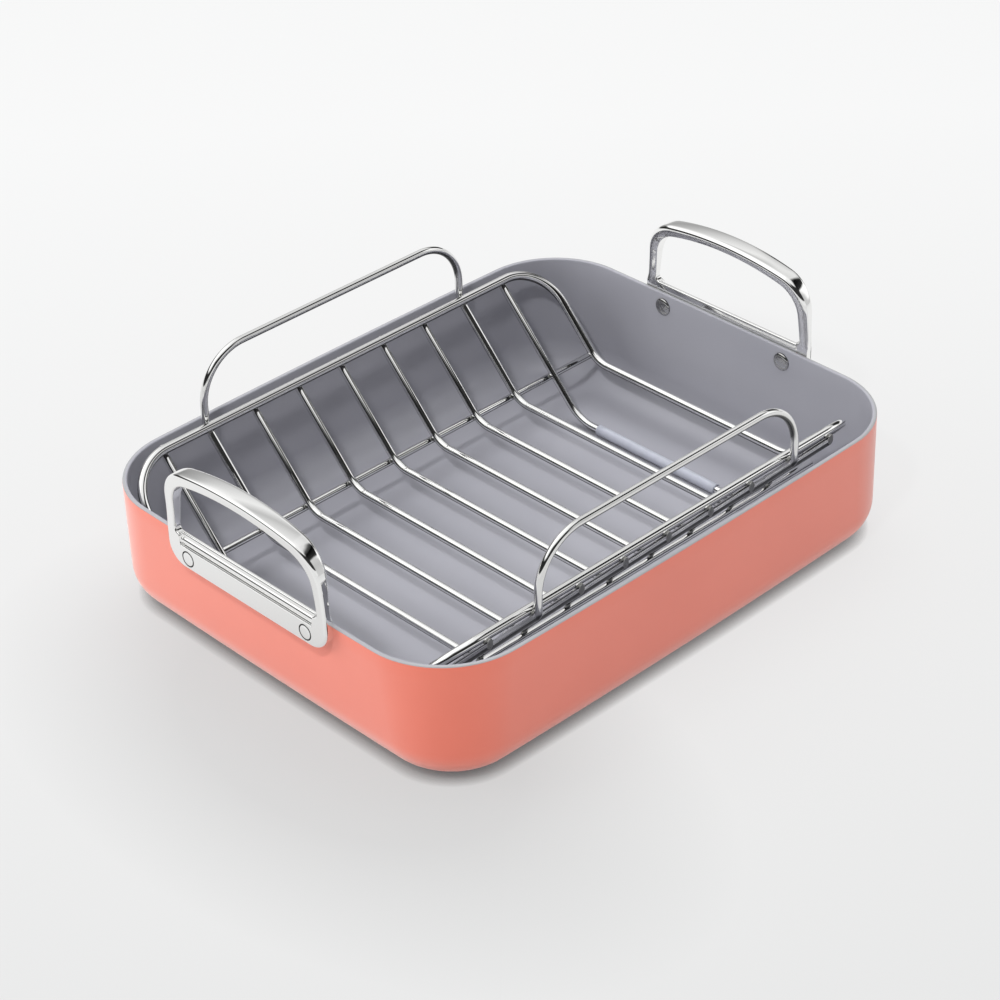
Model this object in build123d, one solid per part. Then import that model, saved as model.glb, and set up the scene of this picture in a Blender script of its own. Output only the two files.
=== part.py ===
from build123d import *
import os
from math import cos, hypot, radians, sin, tan

# Roasting pan with rack.
# A deep rectangular roaster with two riveted cast grips, and inside it a wire rack:
# a cradle with sloping sides that stands on two sleeved feet and lifts out by its bails.
# Millimetres, +Z up. The origin is at the middle of the pan's base. X runs along the pan
# from grip to grip, and Y across it.

# Pan
pan_length = 400.0
pan_width = 315.0
pan_height = 84.5
pan_wall = 3.0
pan_floor = 3.0
rim_corner = 54.0
base_corner = 44.0
end_lean = 4.5
side_lean = 1.0
end_bow = 1.2
side_bow = 2.6
base_round = 24.0
rim_round = 1.0

# Grips, one casting at each end of the pan
plate_drop = 17.3
plate_half_width = 69.0
plate_front = 5.5
plate_corner = 14.0
hoop_height = 56.5
hoop_crown = 9.4
hoop_taper = 3.0
hoop_corner = 25.0
hoop_lean_out = 5.0
hoop_lean_in = 3.8
lean_start = 6.5
grip_bar = 7.3
leg_width = 7.0
window_foot = 5.0
window_corner = 20.0
window_foot_corner = 3.5
ledge_depth = 7.5
ledge_cove = 2.6
bead_thickness = 3.4
bead_end_gap = 0.3
grip_edge = 1.9

# Rivets, two through each grip
rivet_inset = 17.7
rivet_drop = 9.5
rivet_shank = 6.0
rivet_face = 10.4
rivet_face_depth = 2.0
rivet_head = 12.2
rivet_head_rise = 2.3
rivet_clearance = 0.1

# Rack frame, the top wire with its two dipped ends
frame_wire = 6.0
rack_shift = -7.5
rack_end_room = 23.5
rail_room = 19.5
rail_above_rim = 2.8
cradle_slope = 46.5
end_dip = 56.3
frame_corner = 33.0
frame_bend = 22.0

# Cross wires, hung under the frame's rails
cross_wire = 5.0
foot_inset = 33.3
side_wires = 4
cradle_drop = 58.8
cross_bend = 22.0
foot_bend = 30.0
wire_overhang = 4.8
weld_gap = 0.05

# Long wires, under the cross wires' bends
long_wire = 4.5
long_wire_step = 7.2
long_wire_tail = 5.0

# Handle wire, one closed loop that makes both bails and two of the cross wires
bail_rise = 44.5
bail_corner = 33.0
bail_knee = 8.0
bail_stand_off = 0.7

# Silicone sleeves on the foot wires
sleeve_thickness = 1.0
sleeve_end_room = 4.6
sleeve_bore_gap = 0.05
sleeve_floor_gap = 0.3

# How far a cutting shape runs past what it cuts
overrun = 20.0

# Sizes that follow from the ones above
plate_bottom = pan_height - plate_drop
hoop_half_width = plate_half_width - hoop_taper
window_half_foot = plate_half_width - leg_width
window_half_top = hoop_half_width - leg_width
rivet_spread = plate_half_width - rivet_inset
rail_half_gap = pan_width / 2 - rail_room
rail_height = pan_height + rail_above_rim
rack_half_length = pan_length / 2 - rack_end_room
wire_pitch = (rack_half_length - foot_inset) / side_wires
bail_half_length = (side_wires - 1) * wire_pitch
cradle_wires = 2 * side_wires - 3
cradle_bottom = rail_height - cradle_drop
cross_hang = (frame_wire + cross_wire) / 2 + weld_gap


def tray_outline(height, inset):
    """The pan's plan outline at a height, moved in by inset, with gently bowed sides."""
    drop = 1 - height / pan_height
    half_length = pan_length / 2 - end_lean * drop - inset
    half_width = pan_width / 2 - side_lean * drop - inset
    corner = rim_corner + (base_corner - rim_corner) * drop - inset
    corner_x = half_length - end_bow
    corner_y = half_width - side_bow
    with BuildSketch(Plane.XY.offset(height)) as outline:
        with BuildLine():
            ThreePointArc((-corner_x, -corner_y), (0, -half_width), (corner_x, -corner_y))
            ThreePointArc((corner_x, -corner_y), (half_length, 0), (corner_x, corner_y))
            ThreePointArc((corner_x, corner_y), (0, half_width), (-corner_x, corner_y))
            ThreePointArc((-corner_x, corner_y), (-half_length, 0), (-corner_x, -corner_y))
        make_face()
        fillet(outline.vertices(), corner)
    return outline.sketch.face().outer_wire()


def tray_block(bottom, top, inset, bottom_round):
    """A solid between two outlines of the pan, rounded along its bottom edge."""
    block = Solid.make_loft([tray_outline(bottom, inset), tray_outline(top, inset)], True)
    return block.fillet(bottom_round, block.edges().group_by(Axis.Z)[0])


def across(half_distance):
    """The two mirrored places at a distance from the middle."""
    return (-half_distance, half_distance)


def bar_along_x(diameter, start, length):
    """A round bar from a point along +X."""
    section = Plane(origin=start, z_dir=(1, 0, 0)) * Circle(diameter / 2)
    return extrude(section, length)


def swept_wire(path, diameter):
    """A round wire along a path of straight runs and tangent bends."""
    section = Plane(origin=path @ 0, z_dir=path % 0) * Circle(diameter / 2)
    return sweep(section, path)


def make_pan(outside):
    """The drawn body: an even wall, an open top and a soft radius where wall meets floor."""
    inside = tray_block(pan_floor, pan_height + overrun, pan_wall, base_round - pan_wall)
    body = outside - inside
    body = body.fillet(rim_round, body.edges().group_by(Axis.Z)[-1])
    for y in across(rivet_spread):
        start = (-pan_length / 2 - overrun, y, pan_height - rivet_drop)
        body -= bar_along_x(rivet_shank + 2 * rivet_clearance, start, pan_length + 2 * overrun)
    return body


def grip_front():
    """The grip seen from the end of the pan: a plate that grows into a crowned hoop."""
    top = pan_height + hoop_height
    shoulder = top - hoop_crown
    widest = pan_height + lean_start
    sill = pan_height + window_foot
    with BuildSketch(Plane.YZ) as front:
        with BuildLine():
            Polyline(
                (hoop_half_width, shoulder),
                (plate_half_width, widest),
                (plate_half_width, plate_bottom),
                (-plate_half_width, plate_bottom),
                (-plate_half_width, widest),
                (-hoop_half_width, shoulder),
            )
            ThreePointArc((-hoop_half_width, shoulder), (0, top), (hoop_half_width, shoulder))
        make_face()
        fillet(front.vertices().group_by(Axis.Y)[0], plate_corner)
        fillet(front.vertices().group_by(Axis.Y)[-1], hoop_corner)
    with BuildSketch(Plane.YZ) as window:
        with BuildLine():
            Polyline(
                (window_half_top, shoulder - grip_bar),
                (window_half_foot, sill),
                (-window_half_foot, sill),
                (-window_half_top, shoulder - grip_bar),
            )
            ThreePointArc(
                (-window_half_top, shoulder - grip_bar),
                (0, top - grip_bar),
                (window_half_top, shoulder - grip_bar),
            )
        make_face()
        fillet(window.vertices().group_by(Axis.Y)[0], window_foot_corner)
        fillet(window.vertices().group_by(Axis.Y)[-1], window_corner)
    return front.sketch, window.sketch


def grip_side():
    """The grip seen from the side of the pan: flat on the wall, deeper towards its top."""
    wall_line = pan_length / 2
    front = wall_line + plate_front
    top = pan_height + hoop_height
    widest = pan_height + lean_start
    with BuildSketch(Plane.XZ) as side:
        with BuildLine():
            Polyline(
                (wall_line, pan_height),
                (wall_line - overrun, pan_height),
                (wall_line - overrun, plate_bottom),
                (front, plate_bottom),
                (front, widest),
            )
            TangentArc((front, widest), (front + hoop_lean_out, top), tangent=(0, 1))
            Line((front + hoop_lean_out, top), (wall_line - hoop_lean_in, top))
            TangentArc((wall_line, pan_height), (wall_line - hoop_lean_in, top), tangent=(0, 1))
        make_face()
    return side.sketch


def grip_ledge():
    """What is cut away above the plate's face, so that a slimmer bead runs under the window."""
    bead_front = pan_length / 2 + bead_thickness
    ledge = pan_height + window_foot - ledge_depth
    far = bead_front + overrun
    high = pan_height + window_foot + overrun
    with BuildSketch(Plane.XZ) as cut:
        with BuildLine():
            Polyline(
                (bead_front, ledge + ledge_cove),
                (bead_front, high),
                (far, high),
                (far, ledge),
                (bead_front + ledge_cove, ledge),
            )
            RadiusArc((bead_front, ledge + ledge_cove), (bead_front + ledge_cove, ledge), -ledge_cove)
        make_face()
    bead_half_length = window_half_foot - window_foot_corner - bead_end_gap
    return extrude(cut.sketch, bead_half_length, both=True)


def is_grip_rim(edge):
    """True for the edges of the casting that a finger meets: not its seams, nor its back."""
    place = edge.center()
    run = edge % 0.5
    along = abs(run.X) > abs(run.Y) and abs(run.X) > abs(run.Z)
    seam = abs(run.Y) > abs(run.Z) and abs(place.Z - pan_height - lean_start) < grip_edge / 2
    in_front = place.X > pan_length / 2 + plate_front / 2
    over_rim = place.X < pan_length / 2 and place.Z > pan_height + grip_edge
    return (in_front or over_rim) and not along and not seam


def make_grip(outside):
    """The right-hand grip casting, rounded all over, with its plate seated on the pan."""
    wall_line = pan_length / 2
    front, window = grip_front()
    casting = extrude(front, pan_length) & extrude(grip_side(), pan_width, both=True)
    casting -= extrude(window, pan_length)
    casting = casting.fillet(grip_edge, casting.edges().filter_by(is_grip_rim))
    casting -= grip_ledge()
    casting -= outside
    for y in across(rivet_spread):
        height = pan_height - rivet_drop
        casting -= bar_along_x(rivet_shank + 2 * rivet_clearance, (0, y, height), pan_length)
        face_start = wall_line + plate_front - rivet_face_depth
        casting -= bar_along_x(rivet_face + 2 * rivet_clearance, (face_start, y, height), overrun)
    return casting


def make_rivet(y, pan_body):
    """A right-hand rivet: flush face in the plate, shank, and a domed head inside the pan."""
    height = pan_height - rivet_drop
    face = pan_length / 2 + plate_front
    seat = pan_length / 2 - pan_wall - end_lean
    rise = seat - rivet_head_rise
    with BuildSketch(Plane.XZ) as half:
        with BuildLine():
            Polyline(
                (rise, 0),
                (face, 0),
                (face, rivet_face / 2),
                (face - rivet_face_depth, rivet_face / 2),
                (face - rivet_face_depth, rivet_shank / 2),
                (seat + end_lean, rivet_shank / 2),
                (seat + end_lean, rivet_head / 2),
                (seat, rivet_head / 2),
            )
            TangentArc((rise, 0), (seat, rivet_head / 2), tangent=(0, 1))
        make_face()
    spin = revolve(half.sketch, Axis.X)
    return Pos(0, y, height) * spin - pan_body


def rack_line(offset):
    """Height, at the rack's middle, of the sloping line that runs offset below the rails."""
    slope = radians(cradle_slope)
    return rail_height - rail_half_gap * tan(slope) - offset / cos(slope)


def slope_place(height, offset):
    """Distance from the rack's middle where the sloping line reaches a height."""
    return (height - rack_line(offset)) / tan(radians(cradle_slope))


def make_frame():
    """One closed wire: two rails, and two ends that dip into the cradle."""
    dip = rail_height - end_dip
    bend_at = slope_place(dip, 0)
    points = []
    for side in (1, -1):
        x = rack_shift + side * rack_half_length
        points.append((x, -side * rail_half_gap, rail_height))
        points.append((x, -side * bend_at, dip))
        points.append((x, side * bend_at, dip))
        points.append((x, side * rail_half_gap, rail_height))
    radii = (frame_corner, frame_bend, frame_bend, frame_corner) * 2
    path = FilletPolyline(*points, radius=radii, close=True)
    return swept_wire(path, frame_wire)


def make_cross_wire(x, bottom, bend):
    """A wire that slopes down from one rail, runs across and climbs to the other."""
    reach = rail_half_gap + wire_overhang
    top_y = reach + cross_wire
    top = rack_line(cross_hang) + top_y * tan(radians(cradle_slope))
    bend_at = slope_place(bottom, cross_hang)
    path = FilletPolyline((x, -top_y, top), (x, -bend_at, bottom), (x, bend_at, bottom), (x, top_y, top), radius=bend)
    trim = Box(overrun, 2 * reach, 2 * pan_height)
    return swept_wire(path, cross_wire) & Pos(x, 0, pan_height) * trim


def make_handle_loop():
    """One closed wire: two bails above the rails, joined by two cross wires below them."""
    top = rail_height + bail_rise
    stand = rail_half_gap + (frame_wire + cross_wire) / 2 + bail_stand_off
    knee = rack_line(cross_hang) + stand * tan(radians(cradle_slope))
    bend_at = slope_place(cradle_bottom, cross_hang)
    points = []
    for side in (1, -1):
        x = rack_shift + side * bail_half_length
        points.append((x, -side * stand, top))
        points.append((x, -side * stand, knee))
        points.append((x, -side * bend_at, cradle_bottom))
        points.append((x, side * bend_at, cradle_bottom))
        points.append((x, side * stand, knee))
        points.append((x, side * stand, top))
    radii = (bail_corner, bail_knee, cross_bend, cross_bend, bail_knee, bail_corner) * 2
    path = FilletPolyline(*points, radius=radii, close=True)
    return swept_wire(path, cross_wire)


def make_long_wire(y):
    """A straight wire under the cross wires, just above their bends."""
    drop = cross_hang + (cross_wire + long_wire) / 2 + weld_gap
    height = rack_line(drop) + abs(y) * tan(radians(cradle_slope))
    half_length = rack_half_length + long_wire_tail
    return bar_along_x(long_wire, (rack_shift - half_length, y, height), 2 * half_length)


def foot_height():
    """Height of the foot wires, so that their sleeves just clear the pan's floor."""
    return pan_floor + sleeve_floor_gap + cross_wire / 2 + sleeve_bore_gap + sleeve_thickness


def make_sleeve(x):
    """A soft tube on the straight run of a foot wire, ending just before its bends."""
    bore = cross_wire / 2 + sleeve_bore_gap
    ring = Circle(bore + sleeve_thickness) - Circle(bore)
    bend_share = tan(radians(cradle_slope) / 2)
    half_length = slope_place(foot_height(), cross_hang) - foot_bend * bend_share - sleeve_end_room
    place = Plane(origin=(x, -half_length, foot_height()), z_dir=(0, 1, 0))
    return extrude(place * ring, 2 * half_length)


def cradle_places():
    """Where the plain cross wires stand along the pan."""
    first = rack_shift - (cradle_wires - 1) / 2 * wire_pitch
    return [first + index * wire_pitch for index in range(cradle_wires)]


def write(shape, name):
    """Write one piece to its own file."""
    export_step(shape, os.path.join("parts", name + ".step"))


os.makedirs("parts", exist_ok=True)
pan_outside = tray_block(0, pan_height, 0, base_round)
pan = make_pan(pan_outside)
write(pan, "pan_body")
grip = make_grip(pan_outside)
write(grip, "grip_right")
write(mirror(grip, Plane.YZ), "grip_left")
for y, row in zip(across(rivet_spread), ("front", "back")):
    rivet = make_rivet(y, pan)
    write(rivet, "rivet_right_" + row)
    write(mirror(rivet, Plane.YZ), "rivet_left_" + row)

write(make_frame(), "rack_frame")
write(make_handle_loop(), "handle_loop")
for number, x in enumerate(cradle_places(), 1):
    write(make_cross_wire(x, cradle_bottom, cross_bend), "cross_wire_" + str(number))
for side, name in zip(across(side_wires * wire_pitch), ("left", "right")):
    write(make_cross_wire(rack_shift + side, foot_height(), foot_bend), "foot_wire_" + name)
    write(make_sleeve(rack_shift + side), "sleeve_" + name)
long_half_gap = slope_place(cradle_bottom, cross_hang) + long_wire_step
for y, name in zip(across(long_half_gap), ("front", "back")):
    write(make_long_wire(y), "long_wire_" + name)
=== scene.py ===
# %% [markdown]
# # A roasting pan with a wire rack
#
# This lesson builds a studio picture of a coral roasting pan. Its two hoops are polished castings,
# and a cradle of bright wire stands inside it. Every size is a named value in millimetres, and MM
# turns it into Blender's metres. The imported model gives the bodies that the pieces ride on, so each
# piece is made in its final place.

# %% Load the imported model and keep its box
from math import atan2, ceil, cos, hypot, pi, radians, sin, tan

import bmesh
import bpy
from mathutils import Matrix, Vector


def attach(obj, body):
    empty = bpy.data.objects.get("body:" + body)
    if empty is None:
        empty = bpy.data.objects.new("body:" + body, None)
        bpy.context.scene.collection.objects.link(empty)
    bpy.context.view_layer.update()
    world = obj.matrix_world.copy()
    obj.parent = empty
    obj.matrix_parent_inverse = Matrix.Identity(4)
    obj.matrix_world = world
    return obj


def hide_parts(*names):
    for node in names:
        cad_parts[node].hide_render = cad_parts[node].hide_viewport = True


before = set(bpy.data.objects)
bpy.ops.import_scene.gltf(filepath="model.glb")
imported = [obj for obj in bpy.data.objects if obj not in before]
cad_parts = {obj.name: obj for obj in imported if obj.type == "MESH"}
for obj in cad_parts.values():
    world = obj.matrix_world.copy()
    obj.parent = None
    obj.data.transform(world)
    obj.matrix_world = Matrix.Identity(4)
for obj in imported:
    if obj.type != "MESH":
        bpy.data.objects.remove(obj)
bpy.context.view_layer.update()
MM = 0.001

# %% [markdown]
# ## The sizes
#
# A maker measures first. The pan is 400 mm long at the rim and leans in a little towards its base.
# The rack's wires are 6 mm for the frame, 5 mm for the cross wires and 4.5 mm for the two long
# ones. The same values serve every later cell, so a hoop always meets its plate and a wire always
# touches its rail.

# %% Sizes of the pan, the grips and the rivets, in millimetres
PAN_LENGTH, PAN_WIDTH, PAN_HEIGHT = 400.0, 314.96, 84.5
PAN_WALL, PAN_FLOOR = 3.0, 3.0
RIM_CORNER, BASE_CORNER = 54.0, 44.0
END_LEAN, SIDE_LEAN = 4.5, 1.0
END_BOW, SIDE_BOW = 1.2, 2.6
BASE_ROUND, RIM_ROUND = 24.0, 1.0

PLATE_BOTTOM, PLATE_HALF_WIDTH, PLATE_FRONT, PLATE_CORNER = 67.2, 69.0, 5.5, 14.0
HOOP_TOP, HOOP_CROWN, HOOP_HALF_WIDTH, HOOP_CORNER = 140.98, 9.4, 66.0, 25.0
HOOP_LEAN_OUT, HOOP_LEAN_IN, LEAN_START = 5.0, 3.8, 91.0
GRIP_BAR, LEG_WIDTH = 7.3, 7.0
WINDOW_FOOT, WINDOW_CORNER, WINDOW_FOOT_CORNER = 89.5, 20.0, 3.5
LEDGE = 82.0
GRIP_EDGE, STRAP_SWELL = 1.9, 0.5

RIVET_SPREAD, RIVET_HEIGHT, RIVET_FACE, RIVET_HEAD, RIVET_HEAD_RISE = 51.3, 75.0, 10.4, 12.2, 2.3

# %% Sizes of the rack, in millimetres
FRAME_WIRE, CROSS_WIRE, LONG_WIRE = 6.0, 5.0, 4.5
RACK_SHIFT, RACK_HALF_LENGTH, RAIL_HALF_GAP, RAIL_HEIGHT = -7.5, 176.5, 138.0, 87.3
CRADLE_SLOPE = radians(46.5)
END_DIP, FRAME_CORNER, FRAME_BEND = 56.3, 33.0, 22.0
WIRE_PITCH, CRADLE_WIRES, CRADLE_DROP, CROSS_BEND, FOOT_BEND = 35.8, 5, 58.8, 22.0, 30.0
WIRE_OVERHANG, WELD_GAP = 4.8, 0.05
LONG_HALF_GAP, LONG_HALF_LENGTH = 97.05, 181.5
BAIL_RISE, BAIL_CORNER, BAIL_KNEE, BAIL_STAND_OFF, BAIL_HALF_PITCHES = 44.5, 33.0, 8.0, 0.7, 3
SLEEVE_THICKNESS, SLEEVE_LENGTH, SLEEVE_BORE_GAP, SLEEVE_FLOOR_GAP = 1.0, 103.6, 0.05, 0.3
print("pan", PAN_LENGTH, "x", PAN_WIDTH, "x", PAN_HEIGHT, "mm")

# %% [markdown]
# ## The camera
#
# The camera comes first, because it decides what will be seen. A perspective fit to the pan's rim
# and base gave its place: it looks down by 34 degrees onto the near left corner, through a long
# lens that hardly narrows the far end. The camera's own axes are worked out from three angles and
# stored as the columns of its matrix.

# %% Place the camera
VIEW_AZIMUTH, VIEW_ELEVATION, VIEW_ROLL = radians(-43.4198), radians(33.6300), radians(-1.68522)
VIEW_DISTANCE, VIEW_RIGHT, VIEW_UP = 1748.77, -4.66826, 33.64668
FOCAL_SHARE = 2.80929

back = Vector((
    sin(VIEW_AZIMUTH) * cos(VIEW_ELEVATION),
    -cos(VIEW_AZIMUTH) * cos(VIEW_ELEVATION),
    sin(VIEW_ELEVATION),
))
level = Vector((cos(VIEW_AZIMUTH), sin(VIEW_AZIMUTH), 0))
upright = back.cross(level)
right = cos(VIEW_ROLL) * level + sin(VIEW_ROLL) * upright
up = cos(VIEW_ROLL) * upright - sin(VIEW_ROLL) * level
place = (back * VIEW_DISTANCE + right * VIEW_RIGHT + up * VIEW_UP) * MM

camera_data = bpy.data.cameras.new("camera")
camera_data.sensor_width = 36.0
camera_data.lens = FOCAL_SHARE * camera_data.sensor_width
camera = bpy.data.objects.new("camera", camera_data)
bpy.context.scene.collection.objects.link(camera)
camera.matrix_world = Matrix.Translation(place) @ Matrix((right, up, back)).transposed().to_4x4()
bpy.context.scene.camera = camera
print("camera at", [round(value, 3) for value in place], "lens", round(camera_data.lens, 1))

# %% [markdown]
# ## Small helpers for nodes and pieces
#
# A material is a small graph. These helpers add a node, set its sockets and join two of them, so
# that each finish below reads as a short recipe. The last one turns a bmesh into an object that
# rides on a body.

# %% Helpers for materials
def new_material(name):
    """An empty material with a shader and an output, ready for its own nodes."""
    material = bpy.data.materials.new(name)
    material.use_nodes = True
    tree = material.node_tree
    tree.nodes.clear()
    output = tree.nodes.new("ShaderNodeOutputMaterial")
    shader = tree.nodes.new("ShaderNodeBsdfPrincipled")
    tree.links.new(shader.outputs["BSDF"], output.inputs["Surface"])
    return material, tree, shader


def add_node(tree, kind, **values):
    """A node with its settings and socket values."""
    node = tree.nodes.new("ShaderNode" + kind)
    for key, value in values.items():
        if hasattr(node, key):
            setattr(node, key, value)
        else:
            node.inputs[key.replace("_", " ").title()].default_value = value
    return node


def add_ramp(tree, source, low, high, low_color, high_color):
    """A colour ramp between two places on a grey signal."""
    ramp = tree.nodes.new("ShaderNodeValToRGB")
    ramp.color_ramp.elements[0].position = low
    ramp.color_ramp.elements[0].color = (*low_color, 1)
    ramp.color_ramp.elements[1].position = high
    ramp.color_ramp.elements[1].color = (*high_color, 1)
    tree.links.new(source, ramp.inputs["Fac"])
    return ramp


def add_bump(tree, shader, height, strength, distance):
    """A bump on the shader's normal, with its depth in metres."""
    bump = add_node(tree, "Bump", strength=strength, distance=distance)
    tree.links.new(height, bump.inputs["Height"])
    tree.links.new(bump.outputs["Normal"], shader.inputs["Normal"])


def grey(value):
    """A neutral colour."""
    return (value, value, value)


def object_noise(tree, scale, detail):
    """Noise on the object's own coordinates."""
    noise = add_node(tree, "TexNoise", scale=scale, detail=detail)
    tree.links.new(add_node(tree, "TexCoord").outputs["Object"], noise.inputs["Vector"])
    return noise.outputs["Fac"]


def along(tree, coordinates, heading):
    """How far a direction or a place lies along a heading."""
    dot = add_node(tree, "VectorMath", operation="DOT_PRODUCT")
    tree.links.new(coordinates, dot.inputs[0])
    dot.inputs[1].default_value = heading
    return dot.outputs["Value"]


def centred(tree, signal):
    """A signal around zero, raised by a half, so that a ramp's middle is its zero."""
    raised = add_node(tree, "Math", operation="ADD")
    raised.inputs[1].default_value = 0.5
    tree.links.new(signal, raised.inputs[0])
    return raised.outputs[0]


def bands(tree, source, levels):
    """A ramp with one grey at each given place."""
    (low, first), (high, last) = levels[0], levels[-1]
    ramp = add_ramp(tree, source, low, high, grey(first), grey(last))
    for position, level in levels[1:-1]:
        stop = ramp.color_ramp.elements.new(position)
        stop.color = (*grey(level), 1)
    return ramp.outputs["Color"]


# %% Helpers for pieces
MERGE = 0.001


def round_edges(bm, edges, offset, segments):
    """Bevel edges to a round. The new faces take the finish of the faces beside them."""
    bmesh.ops.bevel(
        bm, geom=edges, offset=offset, segments=segments, profile=0.5, affect="EDGES", material=-1
    )


def finish_piece(bm, name, body, materials, nodes=()):
    """Turn a bmesh in millimetres into a smooth piece in metres that rides on its body."""
    bmesh.ops.remove_doubles(bm, verts=bm.verts, dist=MERGE)
    bmesh.ops.recalc_face_normals(bm, faces=bm.faces)
    bmesh.ops.scale(bm, vec=(MM, MM, MM), verts=bm.verts)
    mesh = bpy.data.meshes.new(name)
    bm.to_mesh(mesh)
    bm.free()
    mesh.shade_smooth()
    for material in materials:
        mesh.materials.append(material)
    piece = bpy.data.objects.new(name, mesh)
    bpy.context.scene.collection.objects.link(piece)
    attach(piece, body)
    if nodes:
        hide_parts(*nodes)
    print(name, len(mesh.polygons), "faces")
    return piece


# %% [markdown]
# ## The finishes
#
# The pan has three: a satin coral coating outside, a grey ceramic lining inside and a pale rim
# where the coating ends. Neither coating is quite even, so a slow noise shifts the colour a little
# and a fine one makes the soft orange peel of a sprayed surface.

# %% Coral coating, grey lining and pale rim
DRIFT_SCALE, PEEL_STRENGTH, PEEL_DEPTH = 9, 0.12, 0.0004


def coating(name, dark, light, roughness, grain, gloss=0.5, sheen=0.0):
    """A sprayed ceramic coating: two near colours, a satin sheen and a fine orange peel."""
    material, tree, shader = new_material(name)
    drift = object_noise(tree, DRIFT_SCALE, 3)
    ramp = add_ramp(tree, drift, 0.35, 0.65, dark, light)
    tree.links.new(ramp.outputs["Color"], shader.inputs["Base Color"])
    shader.inputs["Roughness"].default_value = roughness
    shader.inputs["Specular IOR Level"].default_value = gloss
    shader.inputs["Coat Weight"].default_value = 0.08
    shader.inputs["Coat Roughness"].default_value = 0.25
    shader.inputs["Sheen Weight"].default_value = sheen
    shader.inputs["Sheen Roughness"].default_value = 0.5
    add_bump(tree, shader, object_noise(tree, grain, 2), PEEL_STRENGTH, PEEL_DEPTH)
    return material


coral = coating(
    "coral_coating", (0.76, 0.172, 0.110), (0.79, 0.186, 0.121),
    roughness=0.40, grain=1400, gloss=0.25, sheen=0.50,
)
lining = coating(
    "grey_lining", (0.34, 0.34, 0.38), (0.37, 0.37, 0.41), roughness=0.32, grain=1600
)
rim_finish = coating(
    "pale_rim", (0.325, 0.33, 0.345), (0.37, 0.375, 0.39), roughness=0.34, grain=1800
)
print("coatings", coral.name, lining.name, rim_finish.name)

# %% [markdown]
# The metals differ in how they were finished. The castings are polished until only the faintest
# marks are left. The wire is bright too, but its lower side faces the crowded inside of the pan,
# where little light comes back, so a ramp on the surface's own normal paints shade onto the wire
# there. A second narrow band in that ramp is a painted dark reflection line along the wire below its
# highlight. The handle wire stands free of the pan and goes without that band. The inner rivet heads
# are plainer steel, the welds are rougher, and the gap round each rivet is painted nearly black as
# its shade.

# %% Polished casting, drawn wire, rivet steel and weld metal
MARK_STRENGTH = 0.05
WIRE_TINT = (0.93, 0.93, 0.92)


def bright_metal(name, tint, smooth, rough, scale, depth, painted_shade_bands=()):
    """Polished steel whose roughness wanders with fine marks. Painted shade may darken it by where it
    faces.
    """
    material, tree, shader = new_material(name)
    shader.inputs["Metallic"].default_value = 1.0
    shader.inputs["Base Color"].default_value = (*tint, 1)
    # Painted shade: a ramp on the normal darkens the tint, most where the surface faces down.
    if painted_shade_bands:
        upward = along(tree, add_node(tree, "NewGeometry").outputs["Normal"], (0, 0, 0.5))
        shade = bands(tree, centred(tree, upward), painted_shade_bands)
        painted_shade_tint = add_node(tree, "Mix", data_type="RGBA", blend_type="MULTIPLY")
        painted_shade_tint.inputs["Factor"].default_value = 1.0
        painted_shade_tint.inputs["A"].default_value = (*tint, 1)
        tree.links.new(shade, painted_shade_tint.inputs["B"])
        tree.links.new(painted_shade_tint.outputs["Result"], shader.inputs["Base Color"])
    marks = object_noise(tree, scale, 4)
    ramp = add_ramp(tree, marks, 0.3, 0.7, grey(smooth), grey(rough))
    tree.links.new(ramp.outputs["Color"], shader.inputs["Roughness"])
    add_bump(tree, shader, marks, MARK_STRENGTH, depth)
    return material


# Painted shade on the wire, by where its surface faces: 0 is straight down and 1 straight up.
# In the first list the narrow dark band near 0.7 is a painted reflection line below the highlight.
PAINTED_SHADE_AND_DARK_LINE = [
    (0.0, 0.10), (0.40, 0.12), (0.46, 0.95), (0.65, 1.0),
    (0.70, 0.15), (0.75, 0.15), (0.79, 1.0), (1.0, 1.0),
]
PAINTED_UNDERSIDE_SHADE = [(0.0, 0.10), (0.40, 0.12), (0.47, 0.80), (1.0, 1.0)]
cast_polish = bright_metal("cast_polish", (0.94, 0.94, 0.93), 0.05, 0.08, 60, 0.0002)
drawn_wire = bright_metal("drawn_wire", WIRE_TINT, 0.04, 0.07, 300, 0.0001, PAINTED_SHADE_AND_DARK_LINE)
handle_steel = bright_metal("handle_steel", WIRE_TINT, 0.04, 0.07, 300, 0.0001, PAINTED_UNDERSIDE_SHADE)
rivet_steel = bright_metal("rivet_steel", (0.55, 0.55, 0.54), 0.06, 0.10, 300, 0.0001)
weld_metal = bright_metal("weld_metal", (0.42, 0.42, 0.40), 0.25, 0.40, 900, 0.0003)
seat_shadow = bright_metal("seat_shadow", (0.03, 0.03, 0.03), 0.45, 0.60, 900, 0.0003)
metals = (cast_polish, drawn_wire, handle_steel, rivet_steel, weld_metal, seat_shadow)
print("metals", [metal.name for metal in metals])

# %% Silicone
silicone, tree, shader = new_material("silicone")
cloudy = object_noise(tree, 120, 3)
ramp = add_ramp(tree, cloudy, 0.3, 0.7, (0.58, 0.60, 0.68), (0.64, 0.66, 0.74))
tree.links.new(ramp.outputs["Color"], shader.inputs["Base Color"])
shader.inputs["Roughness"].default_value = 0.35
shader.inputs["Subsurface Weight"].default_value = 0.4
shader.inputs["Subsurface Radius"].default_value = (0.002, 0.002, 0.002)
shader.inputs["Transmission Weight"].default_value = 0.25
add_bump(tree, shader, object_noise(tree, 2500, 2), 0.1, 0.0002)
print(silicone.name, len(tree.nodes), "nodes")

# %% [markdown]
# ## The pan
#
# The pan is pressed from one sheet, so it is one outline carried up a profile. A circle of points
# is laid onto the rounded outline, then extruded ring by ring: out along the base, round the 24 mm
# fillet, up the wall, over the rim, down inside and across the floor. Each ring lands on the
# outline for its own height and inset, and that keeps the wall even although its corners tighten
# towards the base.

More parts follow.
